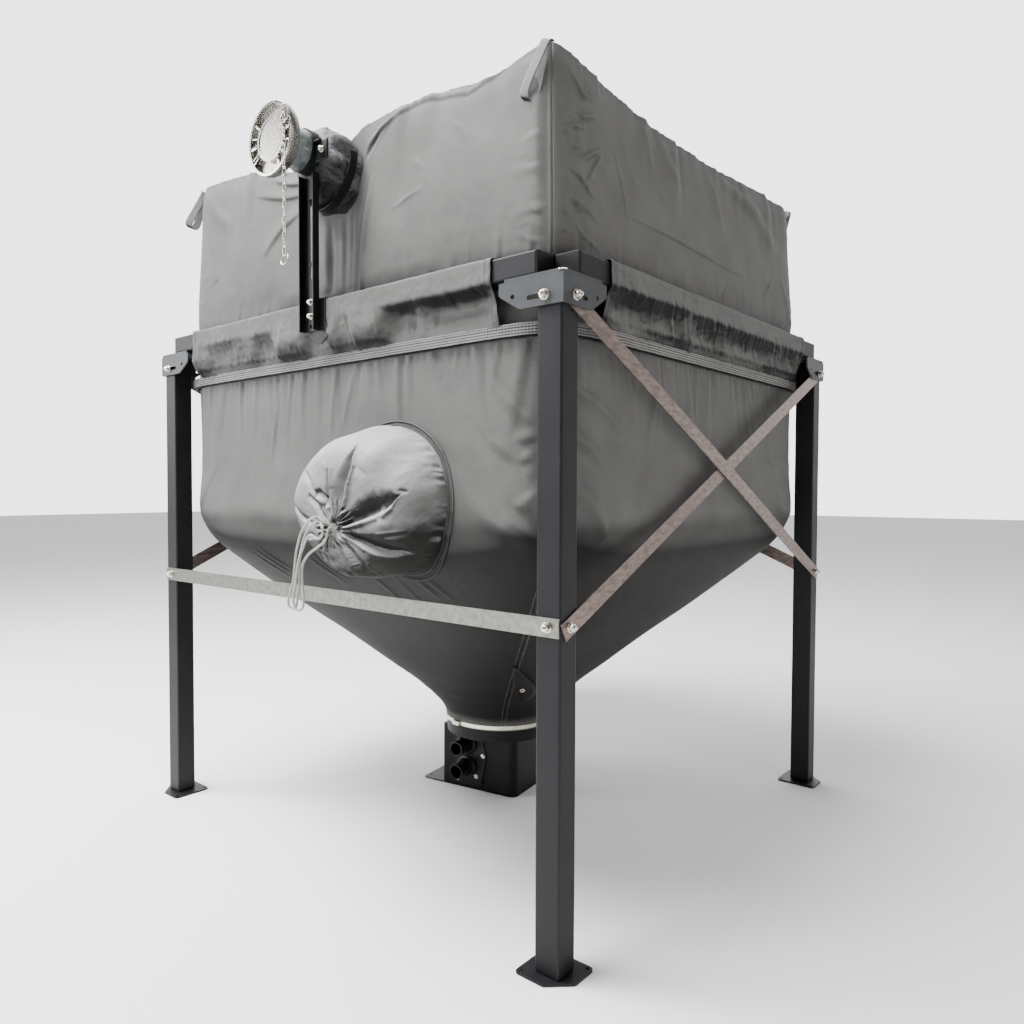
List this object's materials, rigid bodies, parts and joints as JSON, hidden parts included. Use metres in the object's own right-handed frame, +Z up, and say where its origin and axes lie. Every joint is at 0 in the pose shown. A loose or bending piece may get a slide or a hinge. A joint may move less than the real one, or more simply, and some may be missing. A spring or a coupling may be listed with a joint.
{
  "type": "pellet silo",
  "caption": "Square fabric pellet silo in a four-legged steel frame, with a funnel to a floor-level take-off box, a capped side filling pipe and a gathered inspection sock.",
  "frame": {"origin": "on the floor, on the axis of the bag's round neck, at the underside of the take-off box's base plate", "axes": "+Z up; the front, with the filling pipe and the inspection sock, faces -Y; +X runs along the front to the right of someone facing it"},
  "size_m": [1.616, 1.7551, 1.9705],
  "materials": {
    "anthracite_powder_coat": "satin powder coat",
    "bracket_grey": "satin powder coat",
    "flat_steel": "plain flat bar with a dull zinc look",
    "bag_cloth": "coated woven cloth",
    "webbing": "woven strap",
    "string": "braided string",
    "cast_aluminium": "cast and lightly turned",
    "zinc_pipe": "galvanised",
    "black_steel": "black powder coat",
    "black_plastic": "moulded, satin",
    "bright_band": "bright stainless"
  },
  "bodies": {
    "root": {"bag_hopper": "bag_cloth", "bag_neck": "bag_cloth", "bag_roof": "bag_cloth", "bag_roof_front": "bag_cloth", "bag_top": "bag_cloth", "bag_wall": "bag_cloth", "brace_back_inner": "flat_steel", "brace_back_outer": "flat_steel", "brace_left_inner": "flat_steel", "brace_left_outer": "flat_steel", "brace_right_inner": "flat_steel", "brace_right_outer": "flat_steel", "cap_chain": "cast_aluminium", "corner_bracket_back_left": "bracket_grey", "corner_bracket_back_right": "bracket_grey", "corner_bracket_front_left": "bracket_grey", "corner_bracket_front_right": "bracket_grey", "coupling_cap": "cast_aluminium", "coupling_ring": "cast_aluminium", "drawstring": "string", "fill_pipe": "zinc_pipe", "fill_post": "black_steel", "fill_sleeve": "bag_cloth", "foot_plate_back_left": "anthracite_powder_coat", "foot_plate_back_right": "anthracite_powder_coat", "foot_plate_front_left": "anthracite_powder_coat", "foot_plate_front_right": "anthracite_powder_coat", "hanging_loop_back_left": "webbing", "hanging_loop_back_right": "webbing", "hanging_loop_front_left": "webbing", "hanging_loop_front_right": "webbing", "hook_plate": "black_steel", "inspection_sock": "bag_cloth", "leg_back_left": "anthracite_powder_coat", "leg_back_right": "anthracite_powder_coat", "leg_front_left": "anthracite_powder_coat", "leg_front_right": "anthracite_powder_coat", "neck_band": "bright_band", "nozzle_cover": "black_plastic", "nozzle_lower": "black_plastic", "nozzle_upper": "black_plastic", "outlet_base": "black_steel", "outlet_box": "black_steel", "pipe_clamp": "black_steel", "rail_back": "anthracite_powder_coat", "rail_front": "anthracite_powder_coat", "rail_left": "anthracite_powder_coat", "rail_right": "anthracite_powder_coat", "rail_sleeve_back": "bag_cloth", "rail_sleeve_front": "bag_cloth", "rail_sleeve_left": "bag_cloth", "rail_sleeve_right": "bag_cloth", "tie_bar_front": "flat_steel"}
  },
  "joints": []
}
